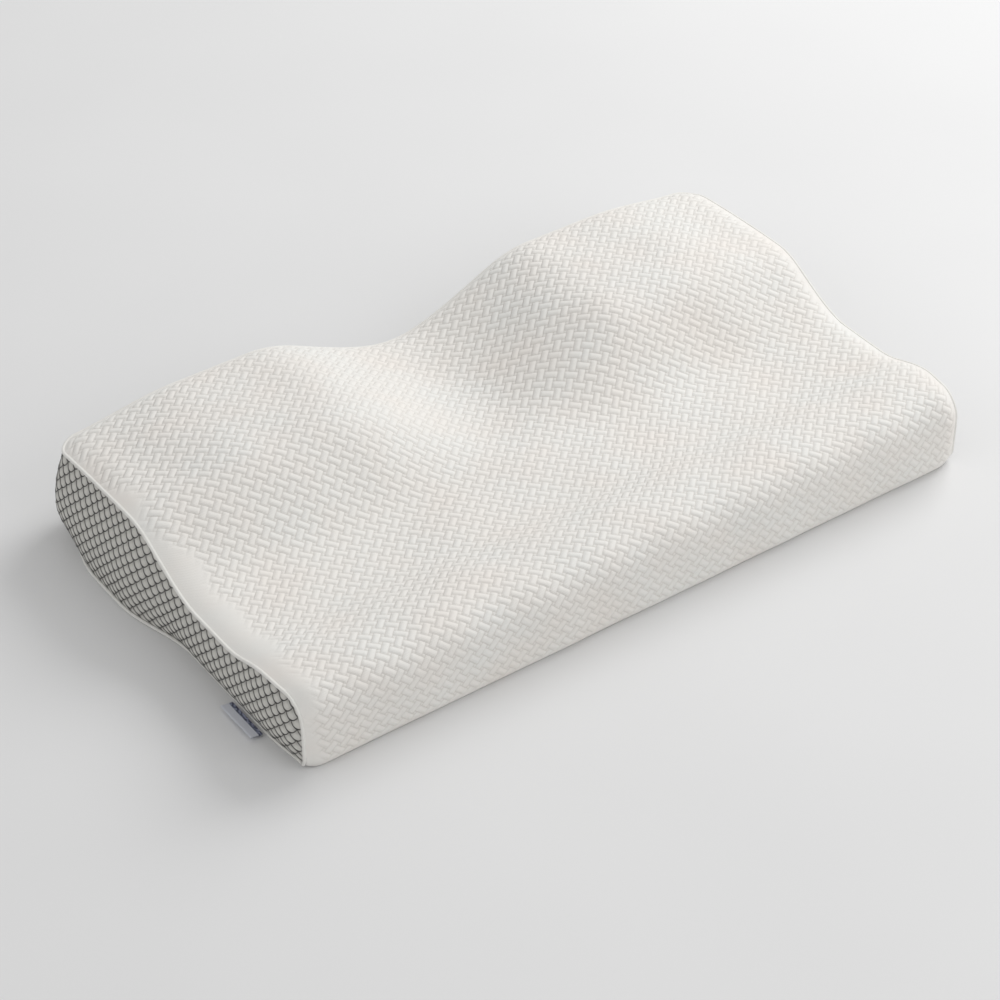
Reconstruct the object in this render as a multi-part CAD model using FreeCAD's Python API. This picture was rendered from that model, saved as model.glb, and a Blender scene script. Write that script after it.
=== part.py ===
"""Contour memory-foam bed pillow with a zipped, removable cover.

Frame: millimetres, +X along the width, +Y from the front edge to the back, +Z up.
The origin is on the resting plane, under the middle of the pillow's box.
The pillow is symmetric about X = 0. A cross-section is drawn in the Y-Z plane with
y = 0 at the front face; every solid is moved to the origin just before it is written.
"""
import FreeCAD, Part
import math
import os

# ---------------------------------------------------------------- driving sizes
WIDTH = 600.0              # over the two side borders
DEPTH = 344.0              # front face to back border
FRONT_HEIGHT = 66.0        # low lobe along the front
VALLEY_HEIGHT = 51.0       # neck valley between the two lobes
WING_HEIGHT = 97.0         # crest of the two back wings
CRADLE_HEIGHT = 51.0       # head cradle between the wings
SIDE_HEIGHT = 86.0         # back lobe where it reaches the side borders

FRONT_CREST_Y = 36.0       # where the front lobe starts to fall
VALLEY_START_Y = 98.0
VALLEY_END_Y = 140.0
LOBE_START_Y = 226.0       # where the back lobe levels out
BACK_FALL = 6.0            # how far the back lobe drops towards the back edge
CRADLE_HALF_WIDTH = 132.0  # from the middle to where a wing is at full height
SIDE_FALL_WIDTH = 105.0    # strip along each side where the wing falls to SIDE_HEIGHT

SIDE_ROUND = 18.0          # rounding between the top and the side borders
SIDE_FOOT_ROUND = 8.0      # rounding under the side borders
FRONT_ROUND = 22.0         # top edge of the front face
BACK_ROUND = 20.0          # top edge of the back border
FRONT_FOOT_ROUND = 7.0     # bottom edge of the front face
BACK_FOOT_ROUND = 14.0     # bottom edge of the back border
REST_SKIM = 0.05           # taken off the underside, so that the pillow rests on a true plane

# ---------------------------------------------------------------- cloth and foam
COVER_CLOTH = 2.5          # quilted knit of the top, and the same build in the border
LINER_CLOTH = 0.8
LINER_SEAM_HEIGHT = 30.0   # height of the seam between the two liner panels
LAYER_GAP = 0.3            # clearance between one layer and the next
SEAM_GAP = 0.3             # clearance between two panels sewn edge to edge

TOP_SEAM_ANGLE = math.radians(45.0)   # where the upper seam sits on the rounded edges
FOOT_SEAM_ANGLE = math.radians(55.0)  # where the lower seam sits under the sides and back
FRONT_HEM = 4.5            # how far the top panel turns under the front edge
PIPING_DIAMETER = 2.8
PIPING_CORNER = 12.0       # plan radius of the piping at the two back corners
PIPING_POINTS = 25
CORNER_POINTS = 5
PIPING_GAP = 0.5           # between the cord and the panels it is sewn between

# ---------------------------------------------------------------- zip in the back border
ZIP_PANEL_END = 40.0       # distance from the side of the pillow to the zip panel's end
ZIP_STRIP = 3.5            # straight part of the lower back strip, under the zip's slot
ZIP_TAPE_WIDTH = 13.0
ZIP_TAPE = 0.8
ZIP_TAPE_TUCK = 8.0        # how far the tapes run on behind the side borders
COIL_WIDTH = 2.4
COIL_THICK = 1.4
COIL_SPLIT = 1.0           # between the two coils, for the slider's wedge
SLIDER_LENGTH = 13.0
SLIDER_WIDTH = 8.8
SLIDER_CLEAR = 0.6         # between the slider and each edge of the slot
SLIDER_PLATE = 1.2
WEDGE_THICK = 0.4
WEDGE_LENGTH = 4.0
BRIDGE_HALF_LENGTH = 3.6
BRIDGE_WIDTH = 2.0
BRIDGE_CLEAR = 1.8         # room under the bridge for the pull's end bar
BRIDGE_BAR = 1.2
PULL_LENGTH = 26.0
PULL_WIDTH = 6.0
PULL_THICK = 1.0
EYE_CLEAR = 1.6            # between the bridge and the far end of the pull's eye
STOP_LENGTH = 3.0
ZIP_MARGIN = 6.0           # from the end of the slot to a stop

# ---------------------------------------------------------------- labels
LABEL_WIDTH = 40.0         # along the side seam
LABEL_STAND = 10.0         # how far it stands out
LABEL_CLOTH = 0.5          # one layer; both labels are folded double
LABEL_FROM_FRONT = 58.0    # from the front face to the woven label
CARE_WIDTH = 30.0
CARE_HEIGHT = 24.0
CARE_X = -215.0            # left edge of the care label

HALF_WIDTH = WIDTH / 2
MIDDLE_Y = DEPTH / 2

# ---------------------------------------------------------------- how finely the form is drawn
LEAD_IN = 4.0              # straight stretch before and after a rounding
TOP_POINTS = 16
PLAIN_SECTIONS = 24
END_SECTIONS = 6


# ---------------------------------------------------------------- pillow form
def ease(value, start, end):
    """0 before start, 1 after end, and a smooth half-cosine between."""
    share = (value - start) / (end - start)
    share = min(max(share, 0.0), 1.0)
    return (1 - math.cos(math.pi * share)) / 2


def back_lobe_height(x):
    """Height of the back lobe: cradle in the middle, a wing each side, lower at the ends."""
    wing = ease(abs(x), 0, CRADLE_HALF_WIDTH)
    side = ease(abs(x), HALF_WIDTH - SIDE_FALL_WIDTH, HALF_WIDTH)
    return (CRADLE_HEIGHT + (WING_HEIGHT - CRADLE_HEIGHT) * wing
            - (WING_HEIGHT - SIDE_HEIGHT) * side)


def top_height(x, y):
    """Height of the top face before its edges are rounded."""
    down = ease(y, FRONT_CREST_Y, VALLEY_START_Y)
    up = ease(y, VALLEY_END_Y, LOBE_START_Y)
    back = back_lobe_height(x)
    fall = max(y - LOBE_START_Y, 0) / (DEPTH - LOBE_START_Y)
    fall_here = BACK_FALL * fall ** 2 * ease(back, CRADLE_HEIGHT, SIDE_HEIGHT)
    return (FRONT_HEIGHT + (VALLEY_HEIGHT - FRONT_HEIGHT) * down
            + (back - VALLEY_HEIGHT) * up - fall_here)


def quarter_inset(x, half_width, radius):
    """How far a rounded end has drawn in at x: 0 inboard, and radius at the very end."""
    over = abs(x) - (half_width - radius)
    if over <= 0:
        return 0.0
    return radius - math.sqrt(max(radius ** 2 - over ** 2, 0.0))


def arc_points(centre_y, centre_z, radius, start, end, count):
    """Points on an arc, both ends included; angles in degrees from +Y towards +Z."""
    points = []
    for step in range(count):
        angle = math.radians(start + (end - start) * step / (count - 1))
        points.append((centre_y + radius * math.cos(angle), centre_z + radius * math.sin(angle)))
    return points


def profile(x, inset=0.0, back_extra=0.0):
    """(y, z) points of the section at x, from its front foot over the top to its back foot.

    inset draws the outline in on all sides, back_extra on the back alone.
    """
    rounding = quarter_inset(x, HALF_WIDTH - inset, SIDE_ROUND - inset)
    front = inset + rounding
    floor = inset + rounding * SIDE_FOOT_ROUND / SIDE_ROUND
    points = [(front + FRONT_FOOT_ROUND + LEAD_IN, floor)]
    points += arc_points(front + FRONT_FOOT_ROUND, floor + FRONT_FOOT_ROUND, FRONT_FOOT_ROUND, 270, 180, 4)

    face_low = floor + FRONT_FOOT_ROUND
    face_high = top_height(x, FRONT_CREST_Y) - front - FRONT_ROUND
    for share in (0.25, 0.5, 0.75):
        points.append((front, face_low + (face_high - face_low) * share))
    points += arc_points(front + FRONT_ROUND, face_high, FRONT_ROUND, 180, 102, 5)

    first = front + FRONT_ROUND + LEAD_IN
    back = DEPTH - inset - rounding - back_extra
    last = back - BACK_ROUND
    for step in range(TOP_POINTS):
        y = first + (last - first) * step / (TOP_POINTS - 1)
        points.append((y, top_height(x, y) - front))

    shoulder = top_height(x, last) - front - BACK_ROUND
    points += arc_points(last, shoulder, BACK_ROUND, 72, 0, 5)

    foot = floor + BACK_FOOT_ROUND
    for share in (0.25, 0.5, 0.75):
        points.append((back, shoulder + (foot - shoulder) * share))
    points += arc_points(back - BACK_FOOT_ROUND, foot, BACK_FOOT_ROUND, 0, -90, 5)
    points.append((back - BACK_FOOT_ROUND - LEAD_IN, floor))
    return points


def section_wire(x, inset, back_extra, knots):
    """Closed wire of one section: a curve over the pillow and a straight line under it."""
    vectors = [FreeCAD.Vector(x, y, z) for y, z in profile(x, inset, back_extra)]
    curve = Part.BSplineCurve()
    curve.interpolate(Points=vectors, Parameters=knots)
    base = Part.makeLine(vectors[-1], vectors[0])
    return Part.Wire([curve.toShape(), base])


def curve_knots():
    """One spacing for every section, from the chord lengths of a wing's section."""
    points = profile(CRADLE_HALF_WIDTH)
    knots = [0.0]
    for before, after in zip(points, points[1:]):
        knots.append(knots[-1] + math.dist(before, after))
    return [knot / knots[-1] for knot in knots]


def loft_sections(places, inset, back_extra):
    knots = curve_knots()
    wires = [section_wire(x, inset, back_extra, knots) for x in places]
    return Part.makeLoft(wires, True, False)


def pillow_form(inset, back_extra=0.0):
    """Closed solid of the pillow's form, drawn in by inset: a long middle and two rounded ends."""
    radius = SIDE_ROUND - inset
    plain_end = HALF_WIDTH - inset - radius
    plain = [plain_end * (2 * step / PLAIN_SECTIONS - 1) for step in range(PLAIN_SECTIONS + 1)]
    middle = loft_sections(plain, inset, back_extra)
    ends = []
    for sign in (-1, 1):
        angles = [math.radians(90 * step / END_SECTIONS) for step in range(END_SECTIONS + 1)]
        rounded = [sign * (plain_end + radius * math.sin(angle)) for angle in angles]
        ends.append(loft_sections(rounded, inset, back_extra))
    return middle.fuse(ends).removeSplitter()


def ring_form(outer, inner, back_extra=0.0):
    """Hollow shell between two insets of the form."""
    return pillow_form(outer, back_extra).cut(pillow_form(inner, back_extra))


def block(x0, x1, y0, y1, z0, z1):
    return Part.makeBox(x1 - x0, y1 - y0, z1 - z0, FreeCAD.Vector(x0, y0, z0))


# ---------------------------------------------------------------- levels shared by the layers
ZIP_SLOT = SLIDER_WIDTH + 2 * SLIDER_CLEAR             # height of the slot between the back strips
ZIP_HEIGHT = BACK_FOOT_ROUND + ZIP_STRIP + ZIP_SLOT / 2
PULL_EYE = BRIDGE_HALF_LENGTH + EYE_CLEAR              # from the pivot to the far end of the eye
SEAM_DRAW = SIDE_ROUND * (1 - math.cos(TOP_SEAM_ANGLE))
SIDE_SEAM_X = HALF_WIDTH - SIDE_ROUND * (1 - math.sin(TOP_SEAM_ANGLE))
SIDE_FOOT_SEAM_X = HALF_WIDTH - SIDE_ROUND * (1 - math.sin(FOOT_SEAM_ANGLE))
SIDE_FOOT_SEAM_Z = SIDE_FOOT_ROUND * (1 - math.cos(FOOT_SEAM_ANGLE))
BACK_ROUND_Y = DEPTH - BACK_ROUND
BACK_SEAM_Y = BACK_ROUND_Y + BACK_ROUND * math.cos(TOP_SEAM_ANGLE)
FOOT_SEAM_Y = DEPTH - BACK_FOOT_ROUND * (1 - math.sin(FOOT_SEAM_ANGLE))
FOOT_SEAM_Z = BACK_FOOT_ROUND * (1 - math.cos(FOOT_SEAM_ANGLE))
FOOT_LEVEL = SIDE_FOOT_ROUND + COVER_CLOTH
LINER_INSET = COVER_CLOTH + LAYER_GAP
TAPE_INSET = COVER_CLOTH + LAYER_GAP
TAPE_FACE_Y = DEPTH - TAPE_INSET                       # outer face of the zip tapes
COIL_Y = TAPE_FACE_Y + LAYER_GAP                       # the coils are sewn on here
OUTER_PLATE_Y = COIL_Y + COIL_THICK + LAYER_GAP        # inner face of the slider's outer plate
BRIDGE_Y = OUTER_PLATE_Y + SLIDER_PLATE                # the bridge stands on this face
INNER_PLATE_Y = TAPE_FACE_Y - ZIP_TAPE - 2 * LAYER_GAP # outer face of the slider's inner plate
ZIP_ROOM = DEPTH - LINER_INSET - INNER_PLATE_Y + SLIDER_PLATE + 2 * LAYER_GAP
CORE_INSET = LINER_INSET + LINER_CLOTH + LAYER_GAP
SLOT_HALF_LENGTH = HALF_WIDTH - ZIP_PANEL_END
ZIP_LOW = ZIP_HEIGHT - ZIP_SLOT / 2
ZIP_HIGH = ZIP_HEIGHT + ZIP_SLOT / 2
STOP_OUT = SLOT_HALF_LENGTH - ZIP_MARGIN
STOP_IN = STOP_OUT - STOP_LENGTH
SLIDER_REST_X = STOP_IN - LAYER_GAP - SLIDER_LENGTH / 2
PIVOT_Y = BRIDGE_Y + BRIDGE_CLEAR / 2
TALL = WING_HEIGHT + 20
BEYOND = 20.0


# ---------------------------------------------------------------- foam and liner
def make_foam_core():
    return pillow_form(CORE_INSET, ZIP_ROOM)


def make_liner():
    """Two thin panels round the foam, joined by a seam at LINER_SEAM_HEIGHT."""
    sleeve = ring_form(LINER_INSET, LINER_INSET + LINER_CLOTH, ZIP_ROOM)
    reach = HALF_WIDTH + BEYOND
    seam_top = LINER_SEAM_HEIGHT + SEAM_GAP / 2
    seam_bottom = LINER_SEAM_HEIGHT - SEAM_GAP / 2
    upper = sleeve.common(block(-reach, reach, -BEYOND, DEPTH + BEYOND, seam_top, TALL))
    lower = sleeve.common(block(-reach, reach, -BEYOND, DEPTH + BEYOND, -BEYOND, seam_bottom))
    return upper, lower


# ---------------------------------------------------------------- cover
def side_region(sign):
    """Block that holds one side border, carried round its back corner to the zip panel."""
    half_gap = SEAM_GAP / 2
    far_x = sign * (HALF_WIDTH + BEYOND)
    far_y = DEPTH + BEYOND
    wall = sorted((sign * (SIDE_SEAM_X + half_gap), far_x))
    foot = sorted((sign * (SIDE_FOOT_SEAM_X + half_gap), far_x))
    corner = sorted((sign * (SLOT_HALF_LENGTH + half_gap), far_x))
    pieces = [
        block(foot[0], foot[1], -BEYOND, far_y, -BEYOND, FOOT_LEVEL),
        block(corner[0], corner[1], BACK_SEAM_Y + half_gap, far_y, FOOT_LEVEL, TALL),
        block(corner[0], corner[1], FOOT_SEAM_Y + half_gap, far_y, -BEYOND, FOOT_LEVEL),
    ]
    return block(wall[0], wall[1], -BEYOND, far_y, FOOT_LEVEL, TALL).fuse(pieces)


def cover_regions():
    """Blocks that part the cover's shell into its panels."""
    half_gap = SEAM_GAP / 2
    far_y = DEPTH + BEYOND
    reach = SIDE_SEAM_X - half_gap
    top = block(-reach, reach, -BEYOND, BACK_SEAM_Y - half_gap, FOOT_LEVEL, TALL)
    hem = block(-reach, reach, -BEYOND, FRONT_HEM - half_gap, -BEYOND, FOOT_LEVEL)
    reach = SIDE_FOOT_SEAM_X - half_gap
    base = block(-reach, reach, FRONT_HEM + half_gap, FOOT_SEAM_Y - half_gap, REST_SKIM,
                 FOOT_LEVEL - SEAM_GAP)
    strip = SLOT_HALF_LENGTH - half_gap
    return {
        "cover_top_panel": top.fuse(hem).removeSplitter(),
        "cover_bottom_panel": base,
        "border_left": side_region(-1),
        "border_right": side_region(1),
        "border_back_upper": block(-strip, strip, BACK_SEAM_Y + half_gap, far_y, ZIP_HIGH, TALL),
        "border_back_lower": block(-strip, strip, FOOT_SEAM_Y + half_gap, far_y, -BEYOND, ZIP_LOW),
    }


def make_cover():
    shell = ring_form(0.0, COVER_CLOTH)
    return {name: shell.common(region) for name, region in cover_regions().items()}


# ---------------------------------------------------------------- piping
def stand_off(x, y, z, out_x, out_y, out_z):
    """A point of the piping: the seam's point, moved out to rest on both panels."""
    length = math.sqrt(out_x ** 2 + out_y ** 2 + out_z ** 2)
    reach = (PIPING_DIAMETER / 2 + PIPING_GAP) / length
    return FreeCAD.Vector(x + out_x * reach, y + out_y * reach, z + out_z * reach)


def side_run():
    """Upper seam along the left side: up the front and over the lobes to the back corner."""
    points = profile(SIDE_SEAM_X)
    lowest = FRONT_FOOT_ROUND + PIPING_DIAMETER / 2
    corner_y = BACK_SEAM_Y - SEAM_DRAW - PIPING_CORNER
    run = []
    for before, here, after in zip(points, points[1:], points[2:]):
        along_y = after[0] - before[0]
        along_z = after[1] - before[1]
        length = math.hypot(along_y, along_z)
        in_front = here[0] < FRONT_ROUND and here[1] > lowest
        on_top = FRONT_ROUND <= here[0] <= corner_y and here[1] > ZIP_HEIGHT
        if in_front or on_top:
            run.append(stand_off(-SIDE_SEAM_X, here[0], here[1], -1, -along_z / length, along_y / length))
    return run


def back_run():
    """Upper seam along the back, from the left corner to the right one."""
    reach = SIDE_SEAM_X - SEAM_DRAW - PIPING_CORNER
    run = []
    for step in range(PIPING_POINTS):
        x = reach * (2 * step / (PIPING_POINTS - 1) - 1)
        z = top_height(x, BACK_ROUND_Y) - BACK_ROUND * (1 - math.sin(TOP_SEAM_ANGLE))
        run.append(stand_off(x, BACK_SEAM_Y, z, 0, 1, 1))
    return run


def mirrored(points):
    return [FreeCAD.Vector(-point.x, point.y, point.z) for point in reversed(points)]


def ring(centre, along, across):
    """Circle of the piping about centre, square to along, its seam towards across."""
    spin = FreeCAD.Rotation(across, along.cross(across), along, "ZXY")
    circle = Part.makeCircle(PIPING_DIAMETER / 2)
    circle.Placement = FreeCAD.Placement(centre, spin)
    return Part.Wire([circle])


def tube(points):
    """Round cord through the points: short straight lengths joined at mitred rings."""
    rings = []
    across = FreeCAD.Vector(-1, 0, 0)
    last = len(points) - 1
    for index, point in enumerate(points):
        along = points[min(index + 1, last)] - points[max(index - 1, 0)]
        along.normalize()
        across = across - along * across.dot(along)
        across.normalize()
        rings.append(ring(point, along, across))
    return Part.makeLoft(rings, True, True)


def rounded_corner(before, after):
    """Points of a quarter turn between the ends of two runs that meet at the back corner."""
    corner = FreeCAD.Vector(before.x, after.y, (before.z + after.z) / 2)
    turn = []
    for step in range(1, CORNER_POINTS):
        share = step / CORNER_POINTS
        turn.append(before * (1 - share) ** 2 + corner * (2 * share * (1 - share)) + after * share ** 2)
    return turn


def make_piping_upper():
    """One cord: up the left front edge, round the top of the borders, down the right."""
    left = side_run()
    back = back_run()
    corner = rounded_corner(left[-1], back[0])
    return tube(left + corner + back + mirrored(left + corner))


def make_piping_lower():
    """One cord where the borders meet the bottom panel, just clear of the floor."""
    side = stand_off(-SIDE_FOOT_SEAM_X, 0, SIDE_FOOT_SEAM_Z, -SIDE_FOOT_ROUND, 0,
                     -SIDE_ROUND / math.tan(FOOT_SEAM_ANGLE))
    rear = stand_off(0, FOOT_SEAM_Y, FOOT_SEAM_Z, 0, math.sin(FOOT_SEAM_ANGLE), -math.cos(FOOT_SEAM_ANGLE))
    draw = SIDE_ROUND * (1 - math.cos(FOOT_SEAM_ANGLE))
    start_y = draw + FRONT_FOOT_ROUND + PIPING_DIAMETER
    corner_y = rear.y - draw - PIPING_CORNER
    count = PIPING_POINTS // 2
    left = []
    for step in range(count):
        y = start_y + (corner_y - start_y) * step / (count - 1)
        left.append(FreeCAD.Vector(side.x, y, side.z))
    reach = -side.x - draw - PIPING_CORNER
    back = []
    for step in range(PIPING_POINTS):
        x = reach * (2 * step / (PIPING_POINTS - 1) - 1)
        back.append(FreeCAD.Vector(x, rear.y, rear.z))
    corner = rounded_corner(left[-1], back[0])
    return tube(left + corner + back + mirrored(left + corner))


# ---------------------------------------------------------------- zip
def make_zip_tapes():
    """Two tapes behind the back border, their ends tucked behind the side borders."""
    cloth = ring_form(TAPE_INSET, TAPE_INSET + ZIP_TAPE)
    reach = SLOT_HALF_LENGTH + ZIP_TAPE_TUCK
    split = COIL_SPLIT / 2
    near_y = DEPTH - BACK_FOOT_ROUND
    far_y = DEPTH + BEYOND
    middle = ZIP_HEIGHT
    upper = cloth.common(block(-reach, reach, near_y, far_y, middle + split, middle + ZIP_TAPE_WIDTH))
    lower = cloth.common(block(-reach, reach, near_y, far_y, middle - ZIP_TAPE_WIDTH, middle - split))
    return upper, lower


def make_zip_coil(sign):
    """One coil, from stop to stop along the edge of its tape."""
    edges = sorted(ZIP_HEIGHT + sign * (COIL_SPLIT / 2 + part) for part in (0, COIL_WIDTH))
    reach = STOP_IN - LAYER_GAP / 2
    return block(-reach, reach, COIL_Y, COIL_Y + COIL_THICK, edges[0], edges[1])


def make_zip_stop(sign):
    """Metal clip that closes both coils at one end of the slot."""
    edges = sorted((sign * STOP_IN, sign * STOP_OUT))
    half = COIL_SPLIT / 2 + COIL_WIDTH
    clip = block(edges[0], edges[1], COIL_Y, COIL_Y + COIL_THICK, ZIP_HEIGHT - half,
                 ZIP_HEIGHT + half)
    return clip.makeFillet(COIL_THICK / 4, clip.Edges)


def make_zip_slider():
    """Two plates either side of the coils, a wedge between them and a bridge for the pull."""
    x = SLIDER_REST_X
    z = ZIP_HEIGHT
    x0 = x - SLIDER_LENGTH / 2
    x1 = x + SLIDER_LENGTH / 2
    half = SLIDER_WIDTH / 2
    outer = block(x0, x1, OUTER_PLATE_Y, BRIDGE_Y, z - half, z + half)
    inner = block(x0, x1, INNER_PLATE_Y - SLIDER_PLATE, INNER_PLATE_Y, z - half, z + half)
    corners = [edge for edge in outer.Edges if abs(edge.tangentAt(0).y) > 0.9]
    outer = outer.makeFillet(SLIDER_WIDTH / 4, corners)
    corners = [edge for edge in inner.Edges if abs(edge.tangentAt(0).y) > 0.9]
    inner = inner.makeFillet(SLIDER_WIDTH / 4, corners)
    wedge = block(x1 - 2 * WEDGE_LENGTH, x1 - WEDGE_LENGTH, INNER_PLATE_Y - SLIDER_PLATE / 2,
                  OUTER_PLATE_Y + SLIDER_PLATE / 2, z - WEDGE_THICK / 2, z + WEDGE_THICK / 2)
    bar_low = BRIDGE_Y + BRIDGE_CLEAR
    bridge = block(x - BRIDGE_HALF_LENGTH, x + BRIDGE_HALF_LENGTH, BRIDGE_Y - SLIDER_PLATE / 2,
                   bar_low + BRIDGE_BAR, z - BRIDGE_WIDTH / 2, z + BRIDGE_WIDTH / 2)
    inside = BRIDGE_HALF_LENGTH - BRIDGE_BAR
    arch = block(x - inside, x + inside, BRIDGE_Y, bar_low, z - BRIDGE_WIDTH, z + BRIDGE_WIDTH)
    return outer.fuse([inner, wedge, bridge]).cut(arch).removeSplitter()


def make_zip_pull():
    """Flat tab whose end bar turns under the bridge; it lies along the zip."""
    x = SLIDER_REST_X
    z = ZIP_HEIGHT
    half = PULL_WIDTH / 2
    tab = block(x - PULL_LENGTH, x + PULL_THICK / 2, PIVOT_Y - PULL_THICK / 2, PIVOT_Y + PULL_THICK / 2,
                z - half, z + half)
    corners = [edge for edge in tab.Edges
               if abs(edge.tangentAt(0).y) > 0.9 and edge.CenterOfMass.x < x - half]
    tab = tab.makeFillet(half * 0.8, corners)
    eye_half = BRIDGE_WIDTH / 2 + LAYER_GAP
    eye = block(x - PULL_EYE, x - PULL_THICK / 2, PIVOT_Y - PULL_THICK, PIVOT_Y + PULL_THICK,
                z - eye_half, z + eye_half)
    return tab.cut(eye)


# ---------------------------------------------------------------- labels
def make_woven_label():
    """Folded label standing out of the left foot seam near the front."""
    level = PIPING_DIAMETER + 2 * LAYER_GAP
    turned = math.acos(1 - (level + 2 * LABEL_CLOTH) / SIDE_FOOT_ROUND)
    root_x = -(HALF_WIDTH - SIDE_ROUND * (1 - math.sin(turned)) + LAYER_GAP)
    return block(root_x - LABEL_STAND, root_x, LABEL_FROM_FRONT, LABEL_FROM_FRONT + LABEL_WIDTH,
                 level, level + 2 * LABEL_CLOTH)


def make_care_label():
    """Folded care label inside the cover, sewn behind the upper back strip of one wing."""
    cloth = ring_form(TAPE_INSET, TAPE_INSET + 2 * LABEL_CLOTH)
    low = ZIP_HEIGHT + ZIP_TAPE_WIDTH + LAYER_GAP
    return cloth.common(block(CARE_X, CARE_X + CARE_WIDTH, DEPTH - BACK_ROUND, DEPTH + BEYOND,
                              low, low + CARE_HEIGHT))


# ---------------------------------------------------------------- writing
def write(name, shape):
    moved = shape.copy()
    moved.translate(FreeCAD.Vector(0, -MIDDLE_Y, -REST_SKIM))
    if len(moved.Solids) == 1:
        moved = moved.Solids[0]
    moved.exportStep("parts/" + name + ".step")
    box = moved.BoundBox
    corners = [round(v, 1) for v in (box.XMin, box.XMax, box.YMin, box.YMax, box.ZMin, box.ZMax)]
    print(name, "solids", len(moved.Solids), "valid", moved.isValid(), "volume", round(moved.Volume), corners)


def main():
    os.makedirs("parts", exist_ok=True)
    pieces = {"foam_core": make_foam_core()}
    pieces["inner_liner_upper"], pieces["inner_liner_lower"] = make_liner()
    pieces.update(make_cover())
    pieces["piping_upper"] = make_piping_upper()
    pieces["piping_lower"] = make_piping_lower()
    pieces["zip_tape_upper"], pieces["zip_tape_lower"] = make_zip_tapes()
    pieces["zip_coil_upper"] = make_zip_coil(1)
    pieces["zip_coil_lower"] = make_zip_coil(-1)
    pieces["zip_stop_closed_end"] = make_zip_stop(1)
    pieces["zip_stop_open_end"] = make_zip_stop(-1)
    pieces["zip_slider"] = make_zip_slider()
    pieces["zip_pull"] = make_zip_pull()
    pieces["woven_label"] = make_woven_label()
    pieces["care_label"] = make_care_label()
    for name, shape in pieces.items():
        write(name, shape)


main()
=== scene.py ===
"""Looks of the contour bed pillow: woven top, net borders, piping, zip and labels.

The form starts from the CAD model's sizes. The cloth lies a few millimetres wider at the side seams and
higher over the valley's sides, and the borders bulge. Lengths are in millimetres in the section's own
frame, with y = 0 at the front face, until mesh_piece() moves a mesh to the row frame in metres.
"""
import bpy
import math
import mathutils
import numpy as np
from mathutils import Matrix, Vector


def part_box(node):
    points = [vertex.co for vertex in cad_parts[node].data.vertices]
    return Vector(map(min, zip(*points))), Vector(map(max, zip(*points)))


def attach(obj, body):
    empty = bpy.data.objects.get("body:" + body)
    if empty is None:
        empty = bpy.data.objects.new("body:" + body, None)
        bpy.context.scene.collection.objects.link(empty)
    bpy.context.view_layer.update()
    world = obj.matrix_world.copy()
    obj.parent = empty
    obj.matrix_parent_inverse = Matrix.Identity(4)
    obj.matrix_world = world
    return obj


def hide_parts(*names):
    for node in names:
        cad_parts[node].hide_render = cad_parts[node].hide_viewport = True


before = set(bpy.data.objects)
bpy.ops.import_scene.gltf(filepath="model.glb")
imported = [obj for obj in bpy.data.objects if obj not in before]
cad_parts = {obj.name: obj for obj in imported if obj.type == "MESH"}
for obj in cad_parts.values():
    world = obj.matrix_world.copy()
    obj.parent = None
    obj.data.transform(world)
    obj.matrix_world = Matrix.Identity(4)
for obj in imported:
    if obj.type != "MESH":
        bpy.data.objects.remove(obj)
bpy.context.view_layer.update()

# -------------------- the CAD model's sizes
WIDTH = 600.0
DEPTH = 344.0
FRONT_HEIGHT = 66.0
VALLEY_HEIGHT = 51.0
WING_HEIGHT = 97.0
CRADLE_HEIGHT = 51.0
SIDE_HEIGHT = 86.0
FRONT_CREST_Y = 36.0
VALLEY_START_Y = 98.0
VALLEY_END_Y = 140.0
LOBE_START_Y = 226.0
BACK_FALL = 6.0
CRADLE_HALF_WIDTH = 132.0
SIDE_FALL_WIDTH = 105.0
SIDE_ROUND = 18.0
SIDE_FOOT_ROUND = 8.0
FRONT_ROUND = 22.0
BACK_ROUND = 20.0
FRONT_FOOT_ROUND = 7.0
BACK_FOOT_ROUND = 14.0
HEM_RISE = 0.46            # how far the front hem's edge lies over the bottom of its rounding
LEAD_IN = 4.0
CROWN_END = 102            # where the front rounding runs out into the top, in degrees
REAR_START = 72            # where the back rounding starts, in degrees
HALF_WIDTH = WIDTH / 2
MIDDLE_Y = DEPTH / 2
SEAM_ANGLE = math.radians(45)
FOOT_SEAM_ANGLE = math.radians(55)
PIPING_RADIUS = 1.4
PIPING_PROUD = 1.3         # how far the cord's middle stands out of its seam
ZIP_PANEL_END = 40.0
ZIP_HEIGHT = 22.5
ZIP_SLOT = 10.0

# -------------------- cloth
STRIP = 5.36               # width of one strip of the woven top
RELIEF = 0.72              # how far a strip stands over its grooves
MEAN_HEIGHT = 0.7          # height of the weave that lies on the plain form
CROSSING = 1.5             # from one strip to the next, in strip widths
HOLLOW_FILL = 0.6          # height of the small hollow between four strips
MESH_LINES = (-0.5, -0.4, 0.0, 0.4, 0.5, 0.6, 0.9)   # mesh lines of one crossing, in strip widths
PLAIN_EDGE = 12.0          # smooth, stretched band along the left seam
PLAIN_EDGE_BACK = 0.0      # the same along the back lobe
PLAIN_EDGE_FRONT = 2.0     # and on the front face
PLAIN_FADE = 11.0          # over which the weave comes up to its full relief
RIGHT_EDGE = 1.0           # the same two on the right, where the weave runs up to the seam
RIGHT_FADE = 7.0
BAND_WIDENS = (60, 110)    # cloth distances from the hem over which the left band widens
BAND_NARROWS = (225, 275)  # and narrows again
RAGGED = 4.0               # how far the band's edge wanders
UNEVEN = 0.5               # height of the cloth's slow unevenness
EDGE_SPREAD = 1.38         # how much wider than the CAD rounding the cloth lies out to its side seams
FRONT_SPREAD = 1.1         # the same along the upright front edges
BACK_CORNER = 14.0         # plan radius of the two back corners, in the cloth
SPREAD_FROM = 4.0          # from the front face, where one spread starts to go over into the other
SPREAD_TO = 50.0           # and where it has done so
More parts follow.
